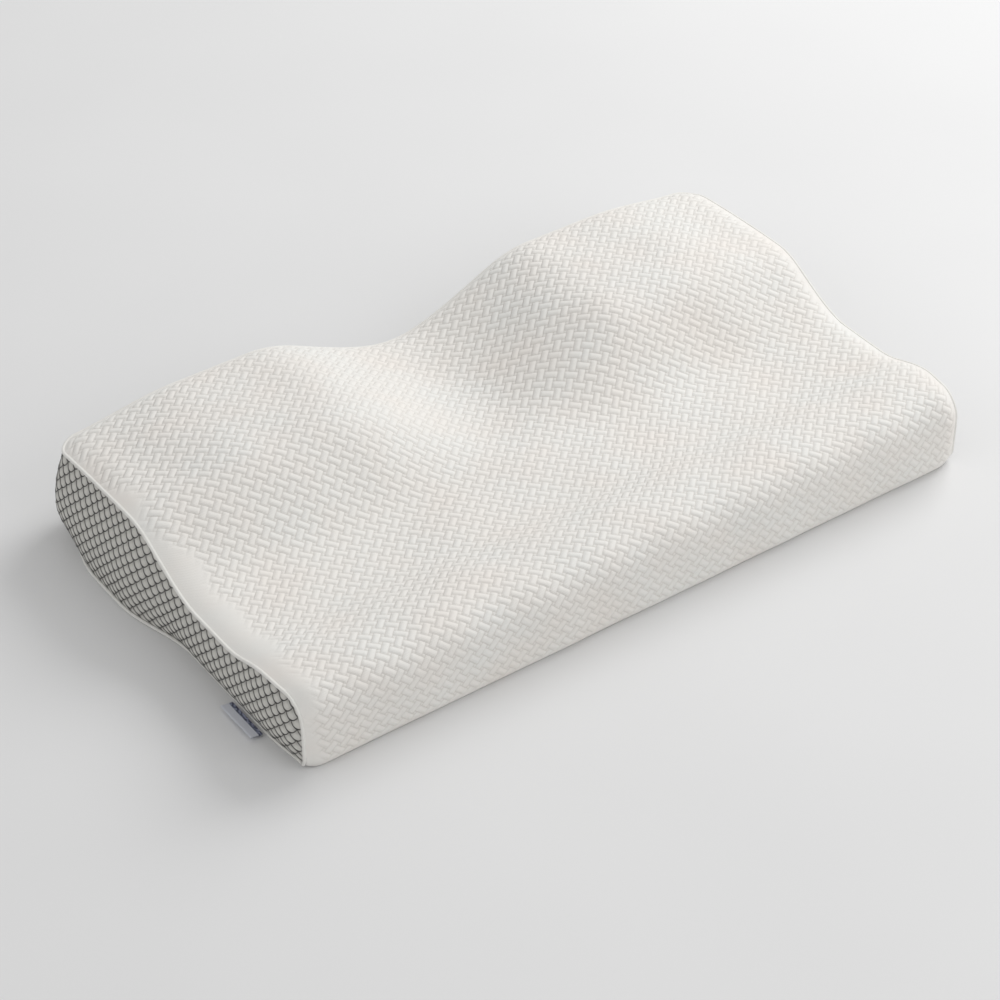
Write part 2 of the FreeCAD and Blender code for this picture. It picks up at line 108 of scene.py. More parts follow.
VALLEY_SIDE_LIFT = 4.0     # how much higher the cloth spans the valley at the side seams
SPAN_RISE = (20, 75)       # where that lift comes up, from the front face
SPAN_FALL = (150, 200)     # where it goes down again
SOFTENING = 34             # rounds of easing that take the CAD form's crispness off
TABLE_STEP = 1.5           # between the points of the top's table
TYPICAL_X = 0.6 * HALF_WIDTH   # whose section gives the top's cloth length
NET_PITCH = 10.4           # between the scallops of one row of the net
NET_ROW = 5.1              # between one row and the next
NET_DROP = 5.1             # depth of a scallop
NET_LIFT = 0.55
NET_WIDTH = 0.95
FRONT_BELLY = 8.0          # how far the border stands out along the front lobe and the valley
LOBE_BELLY = 3.5           # along the back lobe
CORNER_BELLY = 12.0        # round the back corners
BACK_BELLY = 7.0           # along the back
FOOT_FLARE = 13.0          # how far the back lobe pushes the foot of the border out
FOOT_TUCK = 2.0            # how far the foot seam lies in elsewhere
ZIP_RELIEF_LOW = 26.0      # height up to which the back is flat round the zip
ZIP_RELIEF_HIGH = 50.0     # height from which it has its full belly
ZIP_SET_BACK = 0.4         # how far the flat stretch lies inside the CAD wall
LOBE_RISE = (150, 232)     # runs over which the foot flares out
LOBE_END = 268             # run at which it starts to come in again
FRONT_SWELL = (-6, 22)     # runs over which the belly comes up behind the front edge
VALLEY_EASE = (140, 220)   # runs over which it goes over to the lobe's
CORNER_SWELL = 265         # run at which it starts to go over to the corner's
CUSHION = 0.35             # how far the ground swells between the net's threads
RUN_STEP = 1.2             # mesh step along a border
FRONT_FINE = 22.0          # its first stretch, where the steps start finer
SIDE_ROWS = 58             # mesh rows up a side border, and up the two back strips
UPPER_ROWS = 48
LOWER_ROWS = 12
NET_WOBBLE = 0.25          # how far a scallop strays from its place
NET_MARGIN = 0.6           # from a seam to where the threads stop
FLOOR_GAP = 0.4            # under the lower piping
JOIN_GAP = 0.15            # half the gap between a side border and the back strips

rng = np.random.default_rng(7)


# -------------------- form
def ease(value, start, end):
    """0 before start, 1 after end, and a smooth half-cosine between."""
    share = np.clip((value - start) / (end - start), 0, 1)
    return (1 - np.cos(np.pi * share)) / 2


def top_height(x, y):
    """Height of the top face before its edges are rounded."""
    down = ease(y, FRONT_CREST_Y, VALLEY_START_Y)
    up = ease(y, VALLEY_END_Y, LOBE_START_Y)
    wing = ease(np.abs(x), 0, CRADLE_HALF_WIDTH)
    side = ease(np.abs(x), HALF_WIDTH - SIDE_FALL_WIDTH, HALF_WIDTH)
    back = (CRADLE_HEIGHT + (WING_HEIGHT - CRADLE_HEIGHT) * wing
            - (WING_HEIGHT - SIDE_HEIGHT) * side)
    fall = np.maximum(y - LOBE_START_Y, 0) / (DEPTH - LOBE_START_Y)
    fall_here = BACK_FALL * fall ** 2 * ease(back, CRADLE_HEIGHT, SIDE_HEIGHT)
    spanned = VALLEY_SIDE_LIFT * side * ease(y, *SPAN_RISE) * (1 - ease(y, *SPAN_FALL))
    return (FRONT_HEIGHT + (VALLEY_HEIGHT - FRONT_HEIGHT) * down
            + (back - VALLEY_HEIGHT) * up - fall_here + spanned)


def arc(centre_y, centre_z, radius, start, end, count=24):
    """(y, z) points of an arc between two angles in degrees."""
    angle = np.radians(np.linspace(start, end, count))
    return np.stack([centre_y + radius * np.cos(angle), centre_z + radius * np.sin(angle)], 1)


def section(x, rounding):
    """(y, z) points of the section at x, from the front hem over the top to the back seam."""
    floor = rounding * SIDE_FOOT_ROUND / SIDE_ROUND
    hem_angle = 270 - math.degrees(math.acos(1 - HEM_RISE / FRONT_FOOT_ROUND))
    foot = arc(rounding + FRONT_FOOT_ROUND, floor + FRONT_FOOT_ROUND, FRONT_FOOT_ROUND, hem_angle, 180)
    face_high = top_height(x, FRONT_CREST_Y) - rounding - FRONT_ROUND
    crown = arc(rounding + FRONT_ROUND, face_high, FRONT_ROUND, 180, CROWN_END)
    last = DEPTH - rounding - BACK_ROUND
    y = np.linspace(rounding + FRONT_ROUND + LEAD_IN, last, 180)
    top = np.stack([y, top_height(x, y) - rounding], 1)
    shoulder = top_height(x, last) - rounding - BACK_ROUND
    rear = arc(last, shoulder, BACK_ROUND, REAR_START, math.degrees(SEAM_ANGLE))
    return np.concatenate([foot, crown, top, rear])


def lengths_along(points):
    """Distance along a line of points to each of them."""
    steps = np.linalg.norm(np.diff(points, axis=0), axis=1)
    return np.concatenate([[0], np.cumsum(steps)])


def top_table():
    """Points of the top's surface on a grid of crosswise and lengthwise cloth distance."""
    plain = HALF_WIDTH - SIDE_ROUND
    cross_end = plain + SIDE_ROUND * SEAM_ANGLE
    crosses = np.linspace(-cross_end, cross_end, 2 * round(cross_end / TABLE_STEP) + 1)
    mean_length = lengths_along(section(TYPICAL_X, 0.0))[-1]
    shares = np.linspace(0, 1, round(mean_length / TABLE_STEP) + 1)
    rows = []
    for cross in crosses:
        turn = max(abs(cross) - plain, 0) / SIDE_ROUND
        x = math.copysign(min(abs(cross), plain) + SIDE_ROUND * math.sin(turn), cross)
        points = section(x, SIDE_ROUND * (1 - math.cos(turn)))
        length = lengths_along(points)
        y = np.interp(shares * length[-1], length, points[:, 0])
        z = np.interp(shares * length[-1], length, points[:, 1])
        wider = FRONT_SPREAD + (EDGE_SPREAD - FRONT_SPREAD) * ease(y, SPREAD_FROM, SPREAD_TO) - 1
        spread = x + math.copysign(1, cross) * wider * SIDE_ROUND * math.sin(turn)
        rows.append(np.stack([spread, y, z], 1))
    table = np.array(rows)
    for _ in range(SOFTENING):
        inner = table[1:-1, 1:-1]
        around = (table[2:, 1:-1] + table[:-2, 1:-1] + table[1:-1, 2:] + table[1:-1, :-2]) / 4
        table[1:-1, 1:-1] = (inner + around) / 2
    across = np.gradient(table, axis=0)
    along = np.gradient(table, axis=1)
    normals = np.cross(across, along)
    normals /= np.linalg.norm(normals, axis=2, keepdims=True)
    return cross_end, mean_length, table, normals


CROSS_END, TOP_LENGTH, TOP_POINTS, TOP_NORMALS = top_table()
BACK_CORNER_CLOTH = BACK_CORNER * 0.9   # cloth distance over the rounded edges is shorter than in plan


def sample(table, cross, along):
    """Values of a top table at cloth distances, blended between its grid points."""
    i = (cross + CROSS_END) / (2 * CROSS_END) * (table.shape[0] - 1)
    j = along / TOP_LENGTH * (table.shape[1] - 1)
    i0 = np.clip(np.floor(i).astype(int), 0, table.shape[0] - 2)
    j0 = np.clip(np.floor(j).astype(int), 0, table.shape[1] - 2)
    u = (i - i0)[:, None]
    v = (j - j0)[:, None]
    near = table[i0, j0] * (1 - u) + table[i0 + 1, j0] * u
    far = table[i0, j0 + 1] * (1 - u) + table[i0 + 1, j0 + 1] * u
    return near * (1 - v) + far * v


def gentle_noise(a, b, size, waves=14):
    """Smooth unevenness from -1 to 1 with bumps of about the given size."""
    total = np.zeros_like(a)
    for _ in range(waves):
        angle = rng.uniform(0, 2 * math.pi)
        pace = 2 * math.pi / (size * rng.uniform(1.2, 3.0))
        phase = rng.uniform(0, 2 * math.pi)
        total += np.sin((a * math.cos(angle) + b * math.sin(angle)) * pace + phase)
    return total / math.sqrt(waves)


# -------------------- meshes
def mesh_piece(name, points, faces, material, cloth=None, smooth=True):
    """A mesh object from points in section millimetres; cloth is an attribute the materials read."""
    placed = (np.asarray(points, float) - (0, MIDDLE_Y, 0)) * 0.001
    mesh = bpy.data.meshes.new(name)
    mesh.from_pydata(placed.tolist(), [], [list(face) for face in faces])
    mesh.validate()
    if smooth:
        mesh.shade_smooth()
    if cloth is not None:
        layer = mesh.attributes.new("cloth", "FLOAT_VECTOR", "POINT")
        layer.data.foreach_set("vector", np.asarray(cloth, np.float32).ravel())
    mesh.materials.append(material)
    piece = bpy.data.objects.new(name, mesh)
    bpy.context.scene.collection.objects.link(piece)
    return piece


def grid_faces(rows, columns):
    """Quads of a grid of rows x columns points stored row by row."""
    corner = (np.arange(rows - 1)[:, None] * columns + np.arange(columns - 1)).ravel()
    return np.stack([corner, corner + 1, corner + columns + 1, corner + columns], 1)


def used_only(points, faces, *extras):
    """Drops the points that no face uses."""
    kept, new = np.unique(faces, return_inverse=True)
    return (points[kept], new.reshape(faces.shape)) + tuple(extra[kept] for extra in extras)


def tube(points, radius, sides=12):
    """Round cord through the points: ring points, quads and (around, along) for the material."""
    points = np.asarray(points)
    tangent = np.gradient(points, axis=0)
    tangent /= np.linalg.norm(tangent, axis=1, keepdims=True)
    across = np.zeros_like(points)
    guide = np.array([-1.0, 0.0, 0.0])
    for index, along in enumerate(tangent):
        guide = guide - along * guide.dot(along)
        guide = guide / np.linalg.norm(guide)
        across[index] = guide
    upward = np.cross(tangent, across)
    angle = np.linspace(0, 2 * math.pi, sides, endpoint=False)
    rings = (points[:, None] + radius * np.cos(angle)[:, None] * across[:, None]
             + radius * np.sin(angle)[:, None] * upward[:, None])
    rows = len(points)
    row = np.arange(rows - 1)[:, None] * sides
    side = np.arange(sides)
    beside = (side + 1) % sides
    quads = [row + side, row + beside, row + sides + beside, row + sides + side]
    faces = np.stack(quads, 2).reshape(-1, 4)
    caps = [list(range(sides))[::-1], list(range((rows - 1) * sides, rows * sides))]
    run = np.repeat(lengths_along(points), sides)
    cloth = np.stack([np.tile(angle * radius, rows), run, np.ones(rows * sides)], 1)
    return rings.reshape(-1, 3), [list(face) for face in faces] + caps, cloth


# -------------------- material helpers
def srgb(red, green, blue):
    """Linear colour of a screen colour given from 0 to 255."""
    channels = []
    for value in (red, green, blue):
        share = value / 255
        channels.append(share / 12.92 if share <= 0.04045 else ((share + 0.055) / 1.055) ** 2.4)
    return (*channels, 1.0)


class Cloth:
    """A Principled material with short calls for the node networks of this scene."""

    def __init__(self, name, roughness=0.85, sheen=0.0, metallic=0.0):
        self.material = bpy.data.materials.new(name)
        self.material.use_nodes = True
        self.nodes = self.material.node_tree.nodes
        self.links = self.material.node_tree.links
        self.shader = self.nodes["Principled BSDF"]
        self.shader.inputs["Roughness"].default_value = roughness
        self.shader.inputs["Metallic"].default_value = metallic
        self.shader.inputs["Sheen Weight"].default_value = sheen
        self.shader.inputs["Sheen Roughness"].default_value = 0.6

    def put(self, socket, value):
        """Sets a socket to a number or colour, or joins another node's output to it."""
        if isinstance(value, bpy.types.NodeSocket):
            self.links.new(value, socket)
        else:
            socket.default_value = value

    def place(self):
        """Cloth distances in millimetres where the mesh has them."""
        node = self.nodes.new("ShaderNodeAttribute")
        node.attribute_name = "cloth"
        return node.outputs["Vector"]

    def object_place(self):
        return self.nodes.new("ShaderNodeTexCoord").outputs["Object"]

    def scaled(self, vector, scale, turn=0.0):
        node = self.nodes.new("ShaderNodeMapping")
        node.inputs["Scale"].default_value = scale
        node.inputs["Rotation"].default_value = (0, 0, turn)
        self.links.new(vector, node.inputs["Vector"])
        return node.outputs["Vector"]

    def part(self, vector, axis):
        node = self.nodes.new("ShaderNodeSeparateXYZ")
        self.links.new(vector, node.inputs[0])
        return node.outputs[axis]

    def math(self, kind, first, second=0.5):
        node = self.nodes.new("ShaderNodeMath")
        node.operation = kind
        self.put(node.inputs[0], first)
        self.put(node.inputs[1], second)
        return node.outputs[0]

    def noise(self, vector, scale, detail=2.0):
        node = self.nodes.new("ShaderNodeTexNoise")
        node.inputs["Scale"].default_value = scale
        node.inputs["Detail"].default_value = detail
        self.links.new(vector, node.inputs["Vector"])
        return node.outputs[0]

    def wave(self, vector, period, direction="X", distortion=0.0):
        node = self.nodes.new("ShaderNodeTexWave")
        node.bands_direction = direction
        node.inputs["Scale"].default_value = math.pi / (10 * period)
        node.inputs["Distortion"].default_value = distortion
        self.links.new(vector, node.inputs["Vector"])
        return node.outputs["Fac"]

    def cells(self, vector, scale):
        node = self.nodes.new("ShaderNodeTexVoronoi")
        node.inputs["Scale"].default_value = scale
        self.links.new(vector, node.inputs["Vector"])
        return node.outputs["Distance"]

    def blend(self, share, first, second):
        node = self.nodes.new("ShaderNodeMix")
        node.data_type = "RGBA"
        self.put(node.inputs["Factor"], share)
        self.put(node.inputs[6], first)
        self.put(node.inputs[7], second)
        return node.outputs[2]

    def range(self, value, low, high, to_low=0.0, to_high=1.0):
        node = self.nodes.new("ShaderNodeMapRange")
        self.put(node.inputs["Value"], value)
        node.inputs["From Min"].default_value = low
        node.inputs["From Max"].default_value = high
        node.inputs["To Min"].default_value = to_low
        node.inputs["To Max"].default_value = to_high
        return node.outputs[0]

    def colour(self, value):
        self.put(self.shader.inputs["Base Color"], value)

    def bump(self, height, depth, strength=1.0):
        """depth is the bump's real height in metres."""
        node = self.nodes.new("ShaderNodeBump")
        node.inputs["Strength"].default_value = strength
        node.inputs["Distance"].default_value = depth
        self.links.new(height, node.inputs["Height"])
        self.links.new(node.outputs["Normal"], self.shader.inputs["Normal"])


# -------------------- materials
def woven_top_material():
    """Warm white jersey over the strips, darker in the grooves as painted shade, with a fine knit in the
    bump.
    """
    cloth = Cloth("woven_white_knit", roughness=0.9, sheen=0.12)
    place = cloth.place()
    lift = cloth.part(place, 2)
    ribs = cloth.wave(cloth.scaled(place, (1, 1, 0), math.radians(45)), 0.9, distortion=1.2)
    courses = cloth.wave(cloth.scaled(place, (1, 1, 0), math.radians(-45)), 1.15, distortion=1.2)
    knit = cloth.math("MULTIPLY", ribs, courses)
    fuzz = cloth.noise(cloth.scaled(place, (1, 1, 0)), 1.6, 4)
    tint = cloth.noise(cloth.scaled(place, (1, 1, 0)), 0.018, 2)
    warm = cloth.blend(cloth.range(tint, 0.35, 0.7), srgb(236, 235, 231), srgb(237, 232, 226))
    # painted shade: darker where the strip height falls into the grooves
    painted_groove_shade = cloth.blend(cloth.range(lift, 0.0, 0.6), srgb(222, 218, 212), warm)
    cloth.colour(cloth.blend(cloth.range(fuzz, 0.3, 0.8, 0.0, 0.12), painted_groove_shade, srgb(218, 214, 208)))
    cloth.bump(cloth.math("ADD", knit, fuzz), 0.00012, 0.8)
    return cloth.material


def border_material():
    """Grey knitted ground under the net, darker as painted shade where it dips under the threads, its
    stitches in the colour and the bump.
    """
    cloth = Cloth("grey_mesh_ground", roughness=0.85, sheen=0.1)
    place = cloth.place()
    lift = cloth.part(place, 2)
    stitches = cloth.wave(cloth.scaled(place, (1, 1, 0)), 0.9, "X", 1.5)
    courses = cloth.wave(cloth.scaled(place, (1, 1, 0)), 1.2, "Y", 1.5)
    knit = cloth.math("MULTIPLY", stitches, courses)
    # painted shade: the ground goes darker where its cushion dips under the net's threads
    ground = cloth.blend(cloth.range(lift, 0.0, 0.8), srgb(166, 164, 159), srgb(212, 210, 204))
    cloth.colour(cloth.blend(cloth.range(knit, 0.0, 1.0, 0.0, 0.25), ground, srgb(205, 203, 198)))
    cloth.bump(knit, 0.0002, 0.8)
    return cloth.material


def net_material():
    """Near-black filament of the net."""
    cloth = Cloth("dark_net_filament", roughness=0.55)
    place = cloth.place()
    twist = cloth.wave(cloth.scaled(place, (1, 1, 0), math.radians(30)), 0.6)
    cloth.colour(cloth.blend(twist, srgb(24, 23, 22), srgb(50, 48, 46)))
    cloth.bump(twist, 0.0001, 0.6)
    return cloth.material


def piping_material():
    """Off-white cloth wrapped round the cord on the bias."""
    cloth = Cloth("piping_bias_cloth", roughness=0.85, sheen=0.1)
    place = cloth.place()
    bias = cloth.wave(cloth.scaled(place, (1, 1, 0), math.radians(35)), 0.8, distortion=0.5)
    worn = cloth.noise(cloth.scaled(place, (1, 1, 0)), 0.15, 3)
    base = cloth.blend(cloth.range(worn, 0.3, 0.8), srgb(243, 242, 238), srgb(234, 232, 227))
    cloth.colour(cloth.blend(cloth.range(bias, 0.0, 1.0, 0.0, 0.25), base, srgb(216, 214, 208)))
    cloth.bump(bias, 0.00015, 0.8)
    return cloth.material


def base_cloth_material():
    """Plain white jersey under the pillow."""
    cloth = Cloth("base_jersey", roughness=0.9)
    place = cloth.place()
    ribs = cloth.wave(cloth.scaled(place, (1, 1, 0)), 1.2, "X", 0.8)
    courses = cloth.wave(cloth.scaled(place, (1, 1, 0)), 1.5, "Y", 0.8)
    knit = cloth.math("MULTIPLY", ribs, courses)
    cloth.colour(cloth.blend(cloth.range(knit, 0.0, 1.0), srgb(208, 205, 199), srgb(230, 228, 223)))
    cloth.bump(knit, 0.0002, 0.8)
    return cloth.material


def foam_material():
    """Pale memory foam with open pores, darker inside them as painted shade."""
    cloth = Cloth("memory_foam", roughness=0.95)
    place = cloth.object_place()
    pores = cloth.cells(place, 700)
    patches = cloth.noise(place, 18, 2)
    base = cloth.blend(cloth.range(patches, 0.35, 0.7), srgb(242, 234, 206), srgb(235, 224, 190))
    # painted shade: darker at the middle of each pore
    cloth.colour(cloth.blend(cloth.range(pores, 0.0, 0.3), srgb(196, 184, 150), base))
    cloth.bump(pores, 0.0004, 0.7)
    return cloth.material


def liner_material():
    """White jersey of the inner liner."""
    cloth = Cloth("liner_knit", roughness=0.9)
    place = cloth.scaled(cloth.object_place(), (1000, 1000, 1000))
    knit = cloth.math("MULTIPLY", cloth.wave(place, 1.4, "X", 0.5), cloth.wave(place, 1.7, "Z", 0.5))
    cloth.colour(cloth.blend(knit, srgb(222, 222, 220), srgb(240, 240, 238)))
    cloth.bump(knit, 0.0002, 0.7)
    return cloth.material


def tape_material():
    """Zip tape in a fine herringbone."""
    cloth = Cloth("zip_tape_twill", roughness=0.8)
    place = cloth.scaled(cloth.object_place(), (1000, 1000, 1000))
    left = cloth.wave(cloth.scaled(place, (1, 1, 1), 0), 0.9, "DIAGONAL")
    ribs = cloth.wave(place, 3.2, "X")
    twill = cloth.math("MULTIPLY", left, cloth.range(ribs, 0, 1, 0.5, 1))
    cloth.colour(cloth.blend(twill, srgb(196, 195, 191), srgb(226, 225, 222)))
    cloth.bump(twill, 0.0002, 0.8)
    return cloth.material


def coil_material():
    """Pale nylon, a little glossy, with slight unevenness."""
    cloth = Cloth("zip_nylon", roughness=0.35)
    place = cloth.object_place()
    haze = cloth.noise(place, 900, 2)
    cloth.colour(cloth.blend(haze, srgb(205, 204, 200), srgb(232, 231, 228)))
    cloth.bump(haze, 0.00005, 0.5)
    return cloth.material


def metal_material():
    """Brushed nickel with fine scratches and worn, brighter patches."""
    cloth = Cloth("zip_nickel", roughness=0.3, metallic=1.0)
    place = cloth.object_place()
    scratches = cloth.noise(cloth.scaled(place, (400, 4000, 4000)), 1.0, 4)
    wear = cloth.noise(place, 220, 3)
    cloth.colour(cloth.blend(cloth.range(wear, 0.35, 0.65), srgb(168, 166, 162), srgb(206, 204, 200)))
    cloth.put(cloth.shader.inputs["Roughness"], cloth.range(scratches, 0.3, 0.7, 0.22, 0.42))
    cloth.bump(scratches, 0.00003, 0.6)
    return cloth.material


def label_material():
    """Pale blue-grey woven label with a navy band where it is sewn in; no lettering."""
    cloth = Cloth("woven_label_satin", roughness=0.6, sheen=0.1)
    place = cloth.place()
    ribs = cloth.wave(cloth.scaled(place, (1, 1, 0)), 0.5, "Y")
    weft = cloth.wave(cloth.scaled(place, (1, 1, 0)), 0.7, "X", 1.0)
    weave = cloth.math("MULTIPLY", ribs, weft)
    worn = cloth.noise(cloth.scaled(place, (1, 1, 0)), 0.6, 1)
    pale = cloth.blend(weave, srgb(214, 217, 226), srgb(234, 236, 242))
    navy = cloth.blend(cloth.range(worn, 0.45, 0.55), srgb(36, 41, 72), srgb(165, 171, 194))
    cloth.colour(cloth.blend(cloth.range(cloth.part(place, 2), 0.45, 0.55), pale, navy))
    cloth.bump(weave, 0.0001, 0.8)
    return cloth.material


def care_label_material():
    """Blank white satin."""
    cloth = Cloth("care_label_satin", roughness=0.45)
    place = cloth.scaled(cloth.object_place(), (1000, 1000, 1000))
    satin = cloth.wave(place, 0.5, "Z", 0.5)
    cloth.colour(cloth.blend(satin, srgb(228, 228, 230), srgb(244, 244, 245)))
    cloth.bump(satin, 0.00008, 0.6)
    return cloth.material


# -------------------- woven top
def strip_height(a, b, column, row):
    """Height of the strip that floats over one crossing; a and b are in strip widths."""
    beside = np.abs(a - CROSSING * column)
    above = np.abs(b - CROSSING * row)
    lengthwise = (column + row) % 2 == 0
    along = np.where(lengthwise, beside, above)
    across = np.where(lengthwise, above, beside)
    return np.sqrt(np.clip(1 - along ** 12 - (2 * across) ** 5, 0, 1))


def weave_height(a, b):
    """0 in the grooves and 1 on the strips of a plain weave; a and b are in strip widths."""
    column = np.round(a / CROSSING)
    row = np.round(b / CROSSING)
    height = strip_height(a, b, column, row)
    for right, up in ((1, 0), (-1, 0), (0, 1), (0, -1)):
        height = np.maximum(height, strip_height(a, b, column + right, row + up))
    hollow_a = np.abs(np.abs(a - CROSSING * column) - CROSSING / 2)
    hollow_b = np.abs(np.abs(b - CROSSING * row) - CROSSING / 2)
    hollow = np.sqrt(np.clip(1 - (4 * hollow_a) ** 4 - (4 * hollow_b) ** 4, 0, 1))
    return np.maximum(height, HOLLOW_FILL * hollow)


def mesh_lines(reach):
    """Places of the mesh lines out to a reach each way, in strip widths."""
    crossings = np.arange(-math.ceil(reach / CROSSING), math.ceil(reach / CROSSING) + 1) * CROSSING
    return (crossings[:, None] + np.array(MESH_LINES)).ravel()


def inside_top(cross, along):
    """True well within the panel, whose two back corners are rounded."""
    within = (np.abs(cross) < CROSS_END) & (along > 0) & (along < TOP_LENGTH)
    over_x = np.abs(cross) - (CROSS_END - BACK_CORNER_CLOTH)
    over_y = along - (TOP_LENGTH - BACK_CORNER_CLOTH)
    corner = (over_x > 0) & (over_y > 0)
    return within & ~(corner & (np.hypot(over_x, over_y) > BACK_CORNER_CLOTH))


def brought_inside(cross, along):
    """Moves points beyond the panel's edge onto it."""
    cross = np.clip(cross, -CROSS_END, CROSS_END)
    along = np.clip(along, 0, TOP_LENGTH)
    over_x = np.abs(cross) - (CROSS_END - BACK_CORNER_CLOTH)
    over_y = along - (TOP_LENGTH - BACK_CORNER_CLOTH)
    reach = np.hypot(over_x, over_y)
    corner = (over_x > 0) & (over_y > 0) & (reach > BACK_CORNER_CLOTH)
    shrink = np.where(corner, BACK_CORNER_CLOTH / np.maximum(reach, 1e-9), 1)
    cross = np.where(corner, np.sign(cross) * (CROSS_END - BACK_CORNER_CLOTH + over_x * shrink), cross)
    along = np.where(corner, TOP_LENGTH - BACK_CORNER_CLOTH + over_y * shrink, along)
    return cross, along


def make_top_panel(material):
    """The woven top, meshed along its own grooves so that they stay crisp."""
    middle = TOP_LENGTH / 2
    reach = (CROSS_END + middle) / math.sqrt(2) / STRIP
    lines = mesh_lines(reach + CROSSING)
    a, b = [grid.ravel() for grid in np.meshgrid(lines, lines, indexing="ij")]
    cross = (a + b) * STRIP / math.sqrt(2)
    along = (b - a) * STRIP / math.sqrt(2) + middle
    faces = grid_faces(len(lines), len(lines))
    faces = faces[inside_top(cross, along)[faces].any(axis=1)]
    places, faces = used_only(np.stack([cross, along, weave_height(a, b)], 1), faces)
    height = places[:, 2]
    cross, along = brought_inside(places[:, 0], places[:, 1])

    to_side = CROSS_END - np.abs(cross)
    to_back = TOP_LENGTH - along
    ragged = RAGGED * gentle_noise(cross, along, 30)
    plain = PLAIN_EDGE_FRONT + (PLAIN_EDGE - PLAIN_EDGE_FRONT) * ease(along, *BAND_WIDENS)
    plain = plain + (PLAIN_EDGE_BACK - PLAIN_EDGE) * ease(along, *BAND_NARROWS)
    fade = ease(cross + CROSS_END + ragged, plain, plain + PLAIN_FADE)
    fade = fade * ease(CROSS_END - cross, RIGHT_EDGE, RIGHT_EDGE + RIGHT_FADE)
    fade = fade * ease(to_back, 0, 8) * (0.3 + 0.7 * ease(along, 0, 14))
    uneven = UNEVEN * gentle_noise(cross, along, 40)
    lift = RELIEF * (height - MEAN_HEIGHT) * fade + uneven * ease(to_side, 0, 30) * ease(to_back, 0, 20)
    lift = lift * ease(along, -4, 10)
    points = sample(TOP_POINTS, cross, along) + sample(TOP_NORMALS, cross, along) * lift[:, None]
    # the third value is the weave height, which the material turns into painted groove shade
    cloth = np.stack([cross, along, 1 - fade * (1 - height)], 1)
    return mesh_piece("woven_top", points, faces.tolist(), material, cloth)


# -------------------- borders
FOOT_SEAM_Z = SIDE_FOOT_ROUND * (1 - math.cos(FOOT_SEAM_ANGLE))
BACK_FOOT_Z = BACK_FOOT_ROUND * (1 - math.cos(FOOT_SEAM_ANGLE))
SIDE_RUN = DEPTH - BACK_CORNER
CORNER_RUN = BACK_CORNER * math.pi / 2


def seam_line():
    """The top's edge from the left front foot, round the back corner, to the middle of the back."""
    side = np.arange(0, TOP_LENGTH - BACK_CORNER_CLOTH, 1.0)
    turn = np.linspace(0, math.pi / 2, 40)
    back = np.arange(CROSS_END - BACK_CORNER_CLOTH - 1, 0, -2.0)
    cross = np.concatenate([np.full_like(side, -CROSS_END),
                            BACK_CORNER_CLOTH * (1 - np.cos(turn)) - CROSS_END, -back, [0.0]])
    along = np.concatenate([side, TOP_LENGTH - BACK_CORNER_CLOTH * (1 - np.sin(turn)),
                            np.full(len(back) + 1, TOP_LENGTH)])
    return sample(TOP_POINTS, cross, along)


SEAM_LINE = seam_line()


def seam_table():
    """(run, height, x, y) along the seam, from where the front edge is upright; run is plan length."""
    line = SEAM_LINE[np.argmin(SEAM_LINE[:, 1]):]
    steps = np.hypot(np.diff(line[:, 0]), np.diff(line[:, 1]))
    run = line[0, 1] + np.concatenate([[0], np.cumsum(steps)])
    return np.stack([run, line[:, 2], line[:, 0], line[:, 1]], 1)


SEAM = seam_table()
SEAM_START = SEAM[0, 0]
MIDDLE_RUN = SEAM[-1, 0]


def half_run(run):
    """The same place on the left half, for a run that may be on the right one."""
    return MIDDLE_RUN - np.abs(run - MIDDLE_RUN)


def plan_path(run):
    """Seam point and outward direction along the left side, round the back and up the right side."""
    half = half_run(run)
    sign = np.where(run > MIDDLE_RUN, -1.0, 1.0)
    x = np.interp(half, SEAM[:, 0], SEAM[:, 2])
    y = np.interp(half, SEAM[:, 0], SEAM[:, 3])
    turn = np.clip((half - SIDE_RUN) / CORNER_RUN, 0, 1) * math.pi / 2
    return x * sign, y, -np.cos(turn) * sign, np.sin(turn)


def upper_seam(run):
    """Height of the upper seam over a run."""
    rising = SEAM[np.argmax(SEAM[:, 0] > SEAM_START + 0.05):]
    return np.interp(half_run(run), rising[:, 0], rising[:, 1])


def lower_seam(run):
    """Height of the lower seam over a run."""
    half = half_run(run)
    front = np.clip(SEAM_START + FRONT_FOOT_ROUND - half, 0, FRONT_FOOT_ROUND)
    lift = FRONT_FOOT_ROUND - np.sqrt(FRONT_FOOT_ROUND ** 2 - front ** 2)
    rear = ease(half, SIDE_RUN, SIDE_RUN + CORNER_RUN)
    return FOOT_SEAM_Z + (BACK_FOOT_Z - FOOT_SEAM_Z) * rear + lift * 0.8


def to_seam(run, z):
    """Distance to the upper seam or the front edge, on the unrolled border."""
    half = half_run(run)
    nearest = np.full(half.shape, 1e9)
    for place, height in SEAM[:, :2]:
        nearest = np.minimum(nearest, np.hypot(half - place, z - height))
    return nearest


def foot_flare(run):
    """How far the foot seam lies outside the plain wall."""
    half = half_run(run)
    lobe = ease(half, *LOBE_RISE) * (1 - ease(half, LOBE_END, SIDE_RUN + 10))
    return (FOOT_FLARE + FOOT_TUCK) * lobe - FOOT_TUCK


def bulge(run, share):
    """How far the border stands out of the plain wall; share is 0 at the foot and 1 at the seam."""
    half = half_run(run)
    share = np.clip(share, 0, 1)
    belly = FRONT_BELLY * ease(half, *FRONT_SWELL)
    belly = belly + (LOBE_BELLY - FRONT_BELLY) * ease(half, *VALLEY_EASE)
    belly = belly + (CORNER_BELLY - LOBE_BELLY) * ease(half, CORNER_SWELL, SIDE_RUN)
    belly = belly + (BACK_BELLY - CORNER_BELLY) * ease(half, SIDE_RUN + CORNER_RUN, SIDE_RUN + 70)
    low = np.sin(math.pi * share ** 0.75)
    return foot_flare(run) * np.cos(math.pi / 2 * share) ** 1.2 + belly * np.maximum(low, 0)


